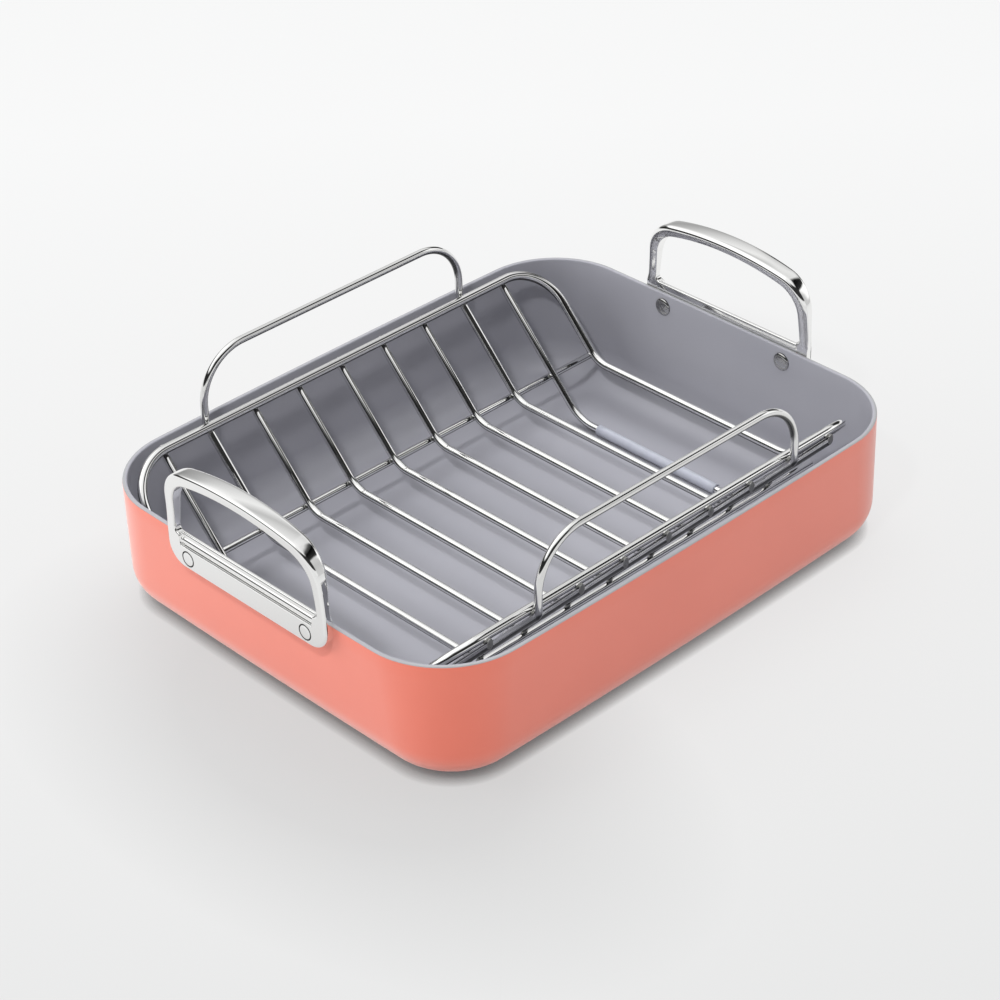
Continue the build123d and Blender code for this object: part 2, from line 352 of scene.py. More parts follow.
# %% Rounded outlines and rings
def bend(before, corner, after, radius):
    """The centre, axis, turn and two ends of the arc that rounds a corner."""
    heading = (corner - before).normalized()
    leaving = (after - corner).normalized()
    turn = heading.angle(leaving)
    cut = radius * tan(turn / 2)
    centre = corner + (leaving - heading).normalized() * radius / cos(turn / 2)
    axis = heading.cross(leaving).normalized()
    return centre, axis, turn, corner - heading * cut, corner + leaving * cut


def rounded_loop(corners, radii, bend_steps, run_shares):
    """Points round a closed outline: an arc at each corner, and the same shares along each run."""
    points = []
    arcs = []
    for index, corner in enumerate(corners):
        after = corners[(index + 1) % len(corners)]
        arcs.append(bend(corners[index - 1], corner, after, radii[index]))
    for index, (centre, axis, turn, start, end) in enumerate(arcs):
        for step in range(bend_steps + 1):
            swing = Matrix.Rotation(turn * step / bend_steps, 3, axis)
            points.append(centre + swing @ (start - centre))
        following = arcs[(index + 1) % len(arcs)][3]
        for share in run_shares:
            points.append(end.lerp(following, share))
    return points


def extrude_ring(bm, ring, places):
    """Extrude a closed ring of vertices and lay the new ring on its places."""
    edges = [bm.edges.get((ring[index - 1], ring[index])) for index in range(len(ring))]
    made = bmesh.ops.extrude_edge_only(bm, edges=edges)["geom"]
    fresh = {item for item in made if isinstance(item, bmesh.types.BMVert)}
    moved = []
    for vertex, spot in zip(ring, places):
        joined = (edge.other_vert(vertex) for edge in vertex.link_edges)
        twin = next(other for other in joined if other in fresh)
        twin.co = spot
        moved.append(twin)
    return moved


def start_ring(bm, places):
    """A circle of vertices laid on its places."""
    ring = bmesh.ops.create_circle(bm, cap_ends=False, radius=1, segments=len(places))["verts"]
    for vertex, spot in zip(ring, places):
        vertex.co = spot
    return ring


# %% The pan's outline at any height
PAN_BEND_STEPS = 18
PAN_RUN_SHARES = [step / 16 for step in range(1, 16)]


def pan_outline(height, inset):
    """The pan's outline at a height, moved in by inset, with its sides gently bowed."""
    drop = 1 - height / PAN_HEIGHT
    half_x = PAN_LENGTH / 2 - END_LEAN * drop - inset
    half_y = PAN_WIDTH / 2 - SIDE_LEAN * drop - inset
    corner = RIM_CORNER + (BASE_CORNER - RIM_CORNER) * drop - inset
    signs = ((1, 1), (-1, 1), (-1, -1), (1, -1))
    corners = [Vector((x * half_x, y * half_y, height)) for x, y in signs]
    points = rounded_loop(corners, [corner] * 4, PAN_BEND_STEPS, PAN_RUN_SHARES)
    for point in points:
        bow_x, bow_y = END_BOW * (point.y / half_y) ** 2, SIDE_BOW * (point.x / half_x) ** 2
        point.x -= bow_x if point.x > 0 else -bow_x
        point.y -= bow_y if point.y > 0 else -bow_y
    return points


print("outline points", len(pan_outline(PAN_HEIGHT, 0)))

# %% Press the pan
FILLET_STEPS, WALL_STEPS, RIM_STEPS, RIM_SHARE = 14, 6, 4, 0.55
OUTSIDE, RIM, INSIDE = 0, 1, 2

profile = []
for step in range(FILLET_STEPS + 1):
    angle = pi / 2 * step / FILLET_STEPS
    profile.append((BASE_ROUND * (1 - sin(angle)), BASE_ROUND * (1 - cos(angle)), OUTSIDE))
wall_top = PAN_HEIGHT - RIM_ROUND
for step in range(1, WALL_STEPS + 1):
    profile.append((0, BASE_ROUND + (wall_top - BASE_ROUND) * step / WALL_STEPS, OUTSIDE))
for step in range(1, RIM_STEPS + 1):
    angle = pi / 2 * step / RIM_STEPS
    skin = OUTSIDE if step == 1 else RIM
    profile.append((RIM_ROUND * (1 - cos(angle)), wall_top + RIM_ROUND * sin(angle), skin))
profile.append((PAN_WALL * RIM_SHARE, PAN_HEIGHT, RIM))
for step in range(RIM_STEPS + 1):
    angle = pi / 2 * step / RIM_STEPS
    inset = PAN_WALL - RIM_ROUND * (1 - sin(angle))
    profile.append((inset, wall_top + RIM_ROUND * cos(angle), INSIDE))
inner_round = BASE_ROUND - PAN_WALL
inner_foot = PAN_FLOOR + inner_round
for step in range(1, WALL_STEPS + 1):
    profile.append((PAN_WALL, wall_top + (inner_foot - wall_top) * step / WALL_STEPS, INSIDE))
for step in range(1, FILLET_STEPS + 1):
    angle = pi / 2 * step / FILLET_STEPS
    inset = PAN_WALL + inner_round * (1 - cos(angle))
    profile.append((inset, inner_foot - inner_round * sin(angle), INSIDE))

bm = bmesh.new()
ring = start_ring(bm, pan_outline(profile[0][1], profile[0][0]))
bmesh.ops.contextual_create(bm, geom=ring)
for inset, height, skin in profile[1:]:
    older = set(bm.faces)
    ring = extrude_ring(bm, ring, pan_outline(height, inset))
    for face in set(bm.faces) - older:
        face.material_index = skin
floor_face = bmesh.ops.contextual_create(bm, geom=ring)["faces"][0]
floor_face.material_index = INSIDE
finish_piece(bm, "pan", "pan", [coral, rim_finish, lining], ["pan_body"])

# %% [markdown]
# ## The grips
#
# Each grip is one casting: a plate riveted to the pan's end wall that grows into a hoop. Seen from
# the end it is one outline with a window, and seen from the side it leans out and deepens towards
# its top. So two loops, the outer outline and the window, are joined by rings, and every point
# takes its depth from its height.

# %% The grip's two loops and its depth
GRIP_BEND_STEPS, CROWN_STEPS = 14, 24
SILL_SHARES = [0.002, 0.004, 0.0065, 0.0095, 0.013, 0.03, 0.1, 0.2, 0.3, 0.4, 0.5]
SILL_SHARES += [1 - share for share in reversed(SILL_SHARES[:-1])]
LEG_SHARES = [0.06, 0.16, 0.3, 0.46, 0.62, 0.78, 0.92]
HALVINGS = 60
SEAT = 0.25


def grip_loop(half_foot, bottom, corner_low, half_top, top, corner_high):
    """A closed loop of a flat foot, two tapering legs and a crown, in steps that match."""
    shoulder = top - HOOP_CROWN
    swing = (half_top ** 2 + HOOP_CROWN ** 2) / (2 * HOOP_CROWN)
    centre = top - swing
    lean = (half_foot - half_top) / (shoulder - LEAN_START)

    def leg(height):
        return half_foot - max(0.0, height - LEAN_START) * lean

    # The corner's circle slides up the leg until it touches the crown's circle from inside.
    low, high = shoulder - 3 * corner_high, shoulder
    for _ in range(HALVINGS):
        middle = (low + high) / 2
        inside = leg(middle) - corner_high * hypot(1, lean)
        clear = hypot(inside, middle - centre) + corner_high < swing
        low, high = (middle, high) if clear else (low, middle)
    centre_y, centre_z = leg(low) - corner_high * hypot(1, lean), low
    leg_turn, crown_turn = atan2(lean, 1), atan2(centre_z - centre, centre_y)
    side = []
    for step in range(GRIP_BEND_STEPS + 1):
        turn = -pi / 2 + pi / 2 * step / GRIP_BEND_STEPS
        side.append((
            half_foot - corner_low * (1 - cos(turn)),
            bottom + corner_low * (1 + sin(turn)),
        ))
    leg_end = (centre_y + corner_high * cos(leg_turn), centre_z + corner_high * sin(leg_turn))
    for share in LEG_SHARES:
        height = side[GRIP_BEND_STEPS][1] + (leg_end[1] - side[GRIP_BEND_STEPS][1]) * share
        side.append((leg(height), height))
    for step in range(GRIP_BEND_STEPS + 1):
        turn = leg_turn + (crown_turn - leg_turn) * step / GRIP_BEND_STEPS
        side.append((centre_y + corner_high * cos(turn), centre_z + corner_high * sin(turn)))
    for step in range(1, CROWN_STEPS // 2 + 1):
        turn = crown_turn + (pi / 2 - crown_turn) * step / (CROWN_STEPS // 2)
        side.append((swing * cos(turn), centre + swing * sin(turn)))
    other = [(-y, z) for y, z in reversed(side[:-1])]
    reach = half_foot - corner_low
    foot = [(-reach + 2 * reach * share, bottom) for share in SILL_SHARES]
    return [Vector((0, y, z)) for y, z in side + other + foot]


def grip_front(height):
    """How far out the grip's front lies at a height."""
    rise = max(0.0, height - LEAN_START) / (HOOP_TOP - LEAN_START)
    return PAN_LENGTH / 2 + PLATE_FRONT + HOOP_LEAN_OUT * rise ** 2


def grip_back(height):
    """How far out the grip's back lies: sunk a hair into the wall, then leaning in over the rim."""
    if height < PAN_HEIGHT:
        return PAN_LENGTH / 2 - END_LEAN * (1 - height / PAN_HEIGHT) - SEAT
    rise = (height - PAN_HEIGHT) / (HOOP_TOP - PAN_HEIGHT)
    return PAN_LENGTH / 2 - HOOP_LEAN_IN * rise ** 2


outer_loop = grip_loop(
    PLATE_HALF_WIDTH, PLATE_BOTTOM, PLATE_CORNER,
    HOOP_HALF_WIDTH, HOOP_TOP - STRAP_SWELL, HOOP_CORNER,
)
window_loop = grip_loop(
    PLATE_HALF_WIDTH - LEG_WIDTH, WINDOW_FOOT, WINDOW_FOOT_CORNER,
    HOOP_HALF_WIDTH - LEG_WIDTH, HOOP_TOP - GRIP_BAR, WINDOW_CORNER,
)
print("grip loop points", len(outer_loop), len(window_loop))

# %% [markdown]
# Between the plate's face and the window lies a narrow groove, and above it a slim round rod that
# is the window's sill. Each pair below is a step across them: how far above the ledge it lies, and
# how deep behind the face. The steps fade out where the sill meets the legs. The window's rim is
# rounded by rings on a quarter circle, because a bevel there would meet edges far shorter than
# itself. The hoop's back swells a little, as polishing leaves it.

# %% The steps across the grip's front
LEDGE_STEPS = [
    (-0.6, 0.0), (-0.2, 0.12), (0.0, 0.5), (0.05, 1.7), (0.3, 2.8),
    (0.5, 2.2), (0.9, 1.73), (1.5, 1.32), (2.5, 1.1), (3.5, 1.32),
    (4.1, 1.73), (4.5, 2.2), (4.7, 2.6), (5.2, 2.6), (6.0, 2.6),
]
WINDOW_ROUND, WINDOW_ROUND_STEPS = 1.3, 5
SILL_FADE, ON_SILL, LEG_SHARE_START, LEG_SHARE_SPAN = 2.0, 0.01, 0.36, 0.28
print("steps across the front", len(LEDGE_STEPS))


def sill_depth(point):
    """1 on the sill, easing to 0 where its end meets the leg."""
    end = PLATE_HALF_WIDTH - LEG_WIDTH - WINDOW_FOOT_CORNER
    if point.z > WINDOW_FOOT + ON_SILL or abs(point.y) >= end - MERGE:
        return 0.0
    run = max(0.0, abs(point.y) - (end - SILL_FADE)) / SILL_FADE
    return (1 - run ** 3) ** (1 / 3)


def front_ring(number):
    """A ring across the front face: 0 is the outer loop, and the others are the steps."""
    places = []
    step, depth = LEDGE_STEPS[number - 1] if number else (0.0, 0.0)
    on_sill = (LEDGE + step - PLATE_BOTTOM) / (WINDOW_FOOT - PLATE_BOTTOM)
    on_leg = LEG_SHARE_START + LEG_SHARE_SPAN * (number - 1) / (len(LEDGE_STEPS) - 1)
    for outer, window in zip(outer_loop, window_loop):
        share = on_sill if window.z < WINDOW_FOOT + ON_SILL else on_leg
        spot = outer.lerp(window, share if number else 0)
        places.append(Vector((grip_front(spot.z) - depth * sill_depth(window), spot.y, spot.z)))
    return places


def outward_of(loop, index):
    """The direction that points out of a loop in its own plane."""
    before, after = loop[index - 1], loop[(index + 1) % len(loop)]
    return Vector((0, after.z - before.z, before.y - after.y)).normalized()


def window_ring(turn, front):
    """A ring on the window's rounded rim, from turn 0 on a face to a quarter turn inside."""
    places = []
    for index, point in enumerate(window_loop):
        spot = point + outward_of(window_loop, index) * WINDOW_ROUND * (1 - sin(turn))
        into = WINDOW_ROUND * (1 - cos(turn))
        deep = grip_front(spot.z) - LEDGE_STEPS[-1][1] * sill_depth(point) - into
        places.append(Vector((deep if front else grip_back(spot.z) + into, spot.y, spot.z)))
    return places


# %% The rings across the grip's back and its outer face
BACK_SWELL, FREE_START, FREE_SPAN = 0.8, 2, 8


def back_ring(share):
    """A ring across the grip's back, which swells a little where it stands free of the pan."""
    places = []
    for index, (outer, window) in enumerate(zip(outer_loop, window_loop)):
        spot = (window + outward_of(window_loop, index) * WINDOW_ROUND).lerp(outer, share)
        free = max(0.0, min(1.0, (spot.z - PAN_HEIGHT - FREE_START) / FREE_SPAN))
        swell = BACK_SWELL * free * 4 * share * (1 - share)
        places.append(Vector((grip_back(spot.z) - swell, spot.y, spot.z)))
    return places


def strap_ring(share):
    """A ring across the outer face, from back to front, swelling a little on the hoop."""
    places = []
    for index, point in enumerate(outer_loop):
        outward = outward_of(outer_loop, index)
        rise = max(0.0, min(1.0, (point.z - LEAN_START) / (HOOP_TOP - LEAN_START)))
        swell = STRAP_SWELL * min(1.0, 2 * rise) * 4 * share * (1 - share)
        depth = grip_back(point.z) + (grip_front(point.z) - grip_back(point.z)) * share
        places.append(Vector((depth, point.y, point.z)) + outward * swell)
    return places


print("wall behind the plate", round(grip_back(PLATE_BOTTOM), 2), "mm from the middle")

# %% Cast one grip
BACK_SHARES, STRAP_SHARES = (0.2, 0.38, 0.55), (0.25, 0.5, 0.75)
BACK_EDGE, BACK_EDGE_START, EDGE_STEPS = GRIP_EDGE + 0.4, PAN_HEIGHT + 4, 6
GRIP_MERGE = 0.0005

bm = bmesh.new()
first = start_ring(bm, front_ring(0))
ring = first
for number in range(1, len(LEDGE_STEPS) + 1):
    ring = extrude_ring(bm, ring, front_ring(number))
quarters = [pi / 2 * step / WINDOW_ROUND_STEPS for step in range(WINDOW_ROUND_STEPS + 1)]
for turn in quarters:
    ring = extrude_ring(bm, ring, window_ring(turn, True))
for turn in reversed(quarters):
    ring = extrude_ring(bm, ring, window_ring(turn, False))
for share in BACK_SHARES:
    ring = extrude_ring(bm, ring, back_ring(share))
outer_back = extrude_ring(bm, ring, strap_ring(0))
ring = outer_back
for share in STRAP_SHARES:
    ring = extrude_ring(bm, ring, strap_ring(share))
extrude_ring(bm, ring, [vertex.co.copy() for vertex in first])
rims = []
for ring, offset, lowest in ((first, GRIP_EDGE, 0), (outer_back, BACK_EDGE, BACK_EDGE_START)):
    pairs = [(a.co.copy(), b.co.copy()) for a, b in zip(ring, ring[1:] + ring[:1])]
    rims.append(([pair for pair in pairs if min(pair[0].z, pair[1].z) >= lowest], offset))
bmesh.ops.remove_doubles(bm, verts=bm.verts, dist=GRIP_MERGE)
bmesh.ops.recalc_face_normals(bm, faces=bm.faces)
print("grip before its edges are rounded", len(bm.faces), "faces")

# %% Round the grip's edges
def edges_at(bm, pairs):
    """The edges that join given pairs of places."""
    found = []
    at = {tuple(round(value, 3) for value in vertex.co): vertex for vertex in bm.verts}
    for pair in pairs:
        ends = [at.get(tuple(round(value, 3) for value in place)) for place in pair]
        if None not in ends and ends[0] is not ends[1]:
            found.append(bm.edges.get(ends))
    return [edge for edge in found if edge]


for pairs, offset in rims:
    round_edges(bm, edges_at(bm, pairs), offset, EDGE_STEPS)
grip_mesh = bm
print("grip", len(bm.faces), "faces")

# %% Finish both grips
SHARP = radians(38)

mirrored = grip_mesh.copy()
bmesh.ops.scale(mirrored, vec=(-1, 1, 1), verts=mirrored.verts)
grips = [
    finish_piece(grip_mesh, "grip_right_cast", "pan", [cast_polish], ["grip_right"]),
    finish_piece(mirrored, "grip_left_cast", "pan", [cast_polish], ["grip_left"]),
]
for grip in grips:
    grip.data.set_sharp_from_angle(angle=SHARP)
    evened = grip.modifiers.new("evened", "WEIGHTED_NORMAL")
    evened.keep_sharp = True

# %% [markdown]
# ## The rivets
#
# Two rivets go through each plate. Outside, each face is ground flush, so only a fine ring shows in
# the plate. Inside the pan its head is a low dome. One half section spun about the rivet's axis
# makes all of it. The faces of the ring and of the head's edge are painted nearly black: painted
# shade that stands in for a narrow gap.

# %% The half section of a rivet
SEAT_RING, SEAT_PROUD, FACE_PROUD, FACE_EDGE = 0.9, 0.04, 0.1, 0.3
HEAD_FLARE, HEAD_EDGE, DOME_STEPS = 0.4, 0.5, 8
face_x = PAN_LENGTH / 2 + PLATE_FRONT


def spun(points, centre, segments):
    """A half section of (along X, radius) points, spun about an axis along X through the centre."""
    bm = bmesh.new()
    verts = [bm.verts.new((x, centre.y, centre.z + radius)) for x, radius in points]
    edges = [bm.edges.new(pair) for pair in zip(verts, verts[1:])]
    bmesh.ops.spin(
        bm, geom=verts + edges, cent=centre, axis=(1, 0, 0), angle=2 * pi, steps=segments,
        use_merge=True, use_duplicate=False,
    )
    bmesh.ops.remove_doubles(bm, verts=bm.verts, dist=MERGE)
    return bm


def rivet_section():
    """From the outer face's middle, over its edge, along the shank and round the dome."""
    wall_lean = END_LEAN * (1 - RIVET_HEIGHT / PAN_HEIGHT)
    inner_wall = PAN_LENGTH / 2 - wall_lean - PAN_WALL
    seat = face_x + SEAT_PROUD
    top, radius = seat + FACE_PROUD, RIVET_FACE / 2 - SEAT_RING
    section = [(top, 0.0), (top, radius * 0.5), (top, radius - FACE_EDGE)]
    section += [(top - FACE_EDGE * 0.3, radius - FACE_EDGE * 0.3), (seat, radius)]
    section += [(seat, RIVET_FACE / 2), (face_x - PLATE_FRONT / 3, RIVET_FACE / 2)]
    section += [(inner_wall, radius * 0.6), (inner_wall + HEAD_FLARE, RIVET_HEAD / 2)]
    section += [(inner_wall - HEAD_EDGE, RIVET_HEAD / 2)]
    for step in range(1, DOME_STEPS + 1):
        angle = pi / 2 * step / DOME_STEPS
        section.append((
            inner_wall - HEAD_EDGE - (RIVET_HEAD_RISE - HEAD_EDGE) * sin(angle),
            RIVET_HEAD / 2 * cos(angle),
        ))
    return section


print("points in a rivet's half section", len(rivet_section()))

# %% Spin the rivets
GAP_SHADE, HEAD = 1, 2
SPIN_STEPS, HEAD_RIM = 48, 0.02

for side, row in ((-1, "front"), (1, "back")):
    for end, name in ((1, "right"), (-1, "left")):
        bm = spun(rivet_section(), Vector((0, side * RIVET_SPREAD, RIVET_HEIGHT)), SPIN_STEPS)
        # Painted shade: the ring round the flush face and the edge of the inner head take the nearly
        # black seat_shadow finish in place of a narrow gap's shade.
        for face in bm.faces:
            middle = face.calc_center_median()
            from_axis = hypot(middle.y - side * RIVET_SPREAD, middle.z - RIVET_HEIGHT)
            if middle.x < face_x:
                face.material_index = GAP_SHADE if from_axis > RIVET_HEAD / 2 - HEAD_RIM else HEAD
            elif from_axis > RIVET_FACE / 2 - SEAT_RING:
                face.material_index = GAP_SHADE
        bmesh.ops.scale(bm, vec=(end, 1, 1), verts=bm.verts)
        node = "rivet_" + name + "_" + row
        finishes = [cast_polish, seat_shadow, rivet_steel]
        rivet = finish_piece(bm, node + "_spun", "pan", finishes, [node])
        rivet.data.set_sharp_from_angle(angle=SHARP)

# %% [markdown]
# ## The rack
#
# All of the rack is bent wire. A wire starts as a ring of vertices. Each straight run is an extrude
# and each bend is a spin about the bend's own centre, just as a bending machine would do it. A
# closed wire comes back to its first ring and is merged there.

# %% Bend a wire
WIRE_SIDES, WIRE_MERGE = 28, 0.01
BEND_STEP = radians(4)


def bent_wire(corners, radii, thickness, closed):
    """A round wire through its corners, each rounded to its radius."""
    if closed:
        start = (corners[-1] + corners[0]) / 2
        turning = list(range(len(corners)))
        goal = start
    else:
        start, goal = corners[0], corners[-1]
        turning = list(range(1, len(corners) - 1))
    heading = (corners[turning[0]] - start).normalized()
    bm = bmesh.new()
    ring = bmesh.ops.create_circle(
        bm, cap_ends=False, radius=thickness / 2, segments=WIRE_SIDES,
        matrix=Matrix.Translation(start) @ heading.to_track_quat("Z", "Y").to_matrix().to_4x4(),
    )["verts"]
    ends = [list(ring)]
    here = start
    for index in turning:
        before, after = corners[index - 1], corners[(index + 1) % len(corners)]
        centre, axis, turn, into, out = bend(before, corners[index], after, radii[index])
        ring = extrude_ring(bm, ring, [vertex.co + into - here for vertex in ring])
        steps = max(2, ceil(turn / BEND_STEP))
        for _ in range(steps):
            swing = Matrix.Rotation(turn / steps, 3, axis)
            turned = [centre + swing @ (vertex.co - centre) for vertex in ring]
            ring = extrude_ring(bm, ring, turned)
        here = out
    ring = extrude_ring(bm, ring, [vertex.co + goal - here for vertex in ring])
    ends.append(ring)
    if closed:
        bmesh.ops.remove_doubles(bm, verts=bm.verts, dist=WIRE_MERGE)
    else:
        for end in ends:
            bmesh.ops.contextual_create(bm, geom=end)
    return bm


def slope_line(offset):
    """Height, at the rack's middle, of the line that slopes offset below the rails."""
    return RAIL_HEIGHT - RAIL_HALF_GAP * tan(CRADLE_SLOPE) - offset / cos(CRADLE_SLOPE)


def slope_place(height, offset):
    """Distance from the rack's middle where that line reaches a height."""
    return (height - slope_line(offset)) / tan(CRADLE_SLOPE)


CROSS_HANG = (FRAME_WIRE + CROSS_WIRE) / 2 + WELD_GAP
CRADLE_BOTTOM = RAIL_HEIGHT - CRADLE_DROP
FOOT_HEIGHT = PAN_FLOOR + SLEEVE_FLOOR_GAP + CROSS_WIRE / 2 + SLEEVE_BORE_GAP + SLEEVE_THICKNESS
print("cradle's floor at", round(CRADLE_BOTTOM, 2), "foot wires at", round(FOOT_HEIGHT, 2), "mm")

# %% The frame and the handle wire
def mirrored_corners(half_x, side):
    """The corners of one end, given as (y, z), and the same end turned round at the other side."""
    corners = []
    for sign in (1, -1):
        for y, z in side:
            corners.append(Vector((RACK_SHIFT + sign * half_x, sign * y, z)))
    return corners


dip = RAIL_HEIGHT - END_DIP
bend_at = slope_place(dip, 0)
end = [(-RAIL_HALF_GAP, RAIL_HEIGHT), (-bend_at, dip), (bend_at, dip), (RAIL_HALF_GAP, RAIL_HEIGHT)]
radii = [FRAME_CORNER, FRAME_BEND, FRAME_BEND, FRAME_CORNER] * 2
bm = bent_wire(mirrored_corners(RACK_HALF_LENGTH, end), radii, FRAME_WIRE, True)
finish_piece(bm, "frame_wire", "rack", [drawn_wire], ["rack_frame"])

bail_top = RAIL_HEIGHT + BAIL_RISE
stand = RAIL_HALF_GAP + (FRAME_WIRE + CROSS_WIRE) / 2 + BAIL_STAND_OFF
knee = slope_line(CROSS_HANG) + stand * tan(CRADLE_SLOPE)
bend_at = slope_place(CRADLE_BOTTOM, CROSS_HANG)
end = [(-stand, bail_top), (-stand, knee), (-bend_at, CRADLE_BOTTOM)]
end += [(bend_at, CRADLE_BOTTOM), (stand, knee), (stand, bail_top)]
radii = [BAIL_CORNER, BAIL_KNEE, CROSS_BEND, CROSS_BEND, BAIL_KNEE, BAIL_CORNER] * 2
bm = bent_wire(mirrored_corners(BAIL_HALF_PITCHES * WIRE_PITCH, end), radii, CROSS_WIRE, True)
finish_piece(bm, "handle_wire", "rack", [handle_steel], ["handle_loop"])

# %% The cross wires and the foot wires
CUT_END, CUT_EDGE, CUT_EDGE_STEPS = 1, 0.35, 2


def cross_wire(x, bottom, radius):
    """A wire that hangs under both rails, cut off upright just past them."""
    reach = RAIL_HALF_GAP + WIRE_OVERHANG
    far = reach + CROSS_WIRE
    top = slope_line(CROSS_HANG) + far * tan(CRADLE_SLOPE)
    low = slope_place(bottom, CROSS_HANG)
    hanging = ((-far, top), (-low, bottom), (low, bottom), (far, top))
    corners = [Vector((x, y, z)) for y, z in hanging]
    bm = bent_wire(corners, [0, radius, radius, 0], CROSS_WIRE, False)
    for side in (-1, 1):
        cut = bmesh.ops.bisect_plane(
            bm, geom=list(bm.verts) + list(bm.edges) + list(bm.faces), dist=0.0001,
            plane_co=(0, side * reach, 0), plane_no=(0, side, 0), clear_outer=True,
        )["geom_cut"]
        edges = [item for item in cut if isinstance(item, bmesh.types.BMEdge)]
        disc = bmesh.ops.contextual_create(bm, geom=edges)["faces"][0]
        disc.material_index = CUT_END
        round_edges(bm, list(disc.edges), CUT_EDGE, CUT_EDGE_STEPS)
    return bm


for number in range(1, CRADLE_WIRES + 1):
    x = RACK_SHIFT + (number - (CRADLE_WIRES + 1) / 2) * WIRE_PITCH
    bm = cross_wire(x, CRADLE_BOTTOM, CROSS_BEND)
    name = "cross_wire_" + str(number)
    finish_piece(bm, name + "_bent", "rack", [drawn_wire, weld_metal], [name])
foot_reach = (BAIL_HALF_PITCHES + 1) * WIRE_PITCH
for side, name in ((-1, "left"), (1, "right")):
    bm = cross_wire(RACK_SHIFT + side * foot_reach, FOOT_HEIGHT, FOOT_BEND)
    name = "foot_wire_" + name
    finish_piece(bm, name + "_bent", "rack", [drawn_wire, weld_metal], [name])

# %% The two long wires
def cylinder(bm, radius, start, end, segments):
    """A closed round bar between two points."""
    axis = end - start
    turn = axis.to_track_quat("Z", "Y").to_matrix().to_4x4()
    bmesh.ops.create_cone(
        bm, cap_ends=True, segments=segments, radius1=radius, radius2=radius, depth=axis.length,
        matrix=Matrix.Translation((start + end) / 2) @ turn,
    )


long_hang = CROSS_HANG + (CROSS_WIRE + LONG_WIRE) / 2 + WELD_GAP
long_height = slope_line(long_hang) + LONG_HALF_GAP * tan(CRADLE_SLOPE)
for side, row in ((-1, "front"), (1, "back")):
    ends = [
        Vector((RACK_SHIFT + end * LONG_HALF_LENGTH, side * LONG_HALF_GAP, long_height))
        for end in (-1, 1)
    ]
    bm = bmesh.new()
    cylinder(bm, LONG_WIRE / 2, ends[0], ends[1], WIRE_SIDES)
    caps = [face for face in bm.faces if len(face.verts) > 4]
    round_edges(bm, [edge for face in caps for edge in face.edges], CUT_EDGE, CUT_EDGE_STEPS)
    node = "long_wire_" + row
    finish_piece(bm, node + "_straight", "rack", [drawn_wire], [node])

# %% [markdown]
# ## The sleeves
#
# The rack's two feet are tubes of soft silicone over the straight runs of the foot wires. They are
# cut from hose, so each end is square with a barely rounded lip.

# %% Slip the sleeves on
LIP, SLEEVE_STEPS, SLEEVE_SIDES, LIP_SHARP = 0.25, 12, 40, radians(50)

bore = CROSS_WIRE / 2 + SLEEVE_BORE_GAP
for side, name in ((-1, "left"), (1, "right")):
    x = RACK_SHIFT + side * foot_reach
    low, high = -SLEEVE_LENGTH / 2, SLEEVE_LENGTH / 2
    outer = bore + SLEEVE_THICKNESS
    section = [(low, bore), (low, outer - LIP), (low + LIP, outer)]
    for step in range(1, SLEEVE_STEPS):
        section.append((low + (high - low) * step / SLEEVE_STEPS, outer))
    section += [(high - LIP, outer), (high, outer - LIP), (high, bore), (low, bore)]
    bm = spun(section, Vector((0, 0, 0)), SLEEVE_SIDES)
    bmesh.ops.rotate(bm, verts=bm.verts, cent=(0, 0, 0), matrix=Matrix.Rotation(pi / 2, 3, "Z"))
    bmesh.ops.translate(bm, verts=bm.verts, vec=(x, 0, FOOT_HEIGHT))
    node = "sleeve_" + name
    sleeve = finish_piece(bm, node + "_hose", "rack", [silicone], [node])
    sleeve.data.set_sharp_from_angle(angle=LIP_SHARP)

# %% [markdown]
# ## The welds
#
# Wherever two wires cross they are pressed together and spot welded, which squeezes out a small
# bead of metal. Each bead is a flattened sphere at the touching point.

# %% Add the weld beads
RAIL_BEAD, LONG_BEAD = (3.1, 2.4, 0.9), (3.0, 1.9, 0.8)
BEAD_SEGMENTS, BEAD_RINGS = 16, 10


def bead_at(bm, place, size, lean):
    """A small flattened sphere at a crossing, leaned with the cradle's side."""
    turn = Matrix.Rotation(lean, 4, "X") @ Matrix.Diagonal((*size, 1))
    bmesh.ops.create_uvsphere(
        bm, u_segments=BEAD_SEGMENTS, v_segments=BEAD_RINGS, radius=1,
        matrix=Matrix.Translation(place) @ turn,
    )


bm = bmesh.new()
below = Vector((0, sin(CRADLE_SLOPE), -cos(CRADLE_SLOPE)))
for station in range(-BAIL_HALF_PITCHES - 1, BAIL_HALF_PITCHES + 2):
    x = RACK_SHIFT + station * WIRE_PITCH
    for side in (-1, 1):
        drop = Vector((0, side * below.y, below.z))
        rail = Vector((x, side * RAIL_HALF_GAP, RAIL_HEIGHT)) + drop * FRAME_WIRE / 2
        bead_at(bm, rail, RAIL_BEAD, side * CRADLE_SLOPE)
        crossing = Vector((x, side * LONG_HALF_GAP, long_height)) - drop * LONG_WIRE / 2
        bead_at(bm, crossing, LONG_BEAD, side * CRADLE_SLOPE)
finish_piece(bm, "weld_beads", "rack", [weld_metal])

# %% [markdown]
# ## The studio
#
# The floor is a seamless pale sweep. Most of its brightness is a glow that only camera, glossy and
# transmission rays see, so it shows and is mirrored without lighting the pan from below. The glow
# grows lighter towards the back. Two ambient occlusion terms paint shade into it: a thin one right
# under the pan and a wide faint one around it. A soft pool of painted shadow lies on the near left.

# %% Helpers for the studio
def multiply(tree, first, second):
    """The product of two signals, or of a signal and a number."""
    product = add_node(tree, "Math", operation="MULTIPLY")
    tree.links.new(first, product.inputs[0])
    if isinstance(second, float):
        product.inputs[1].default_value = second
    else:
        tree.links.new(second, product.inputs[1])
    return product.outputs[0]


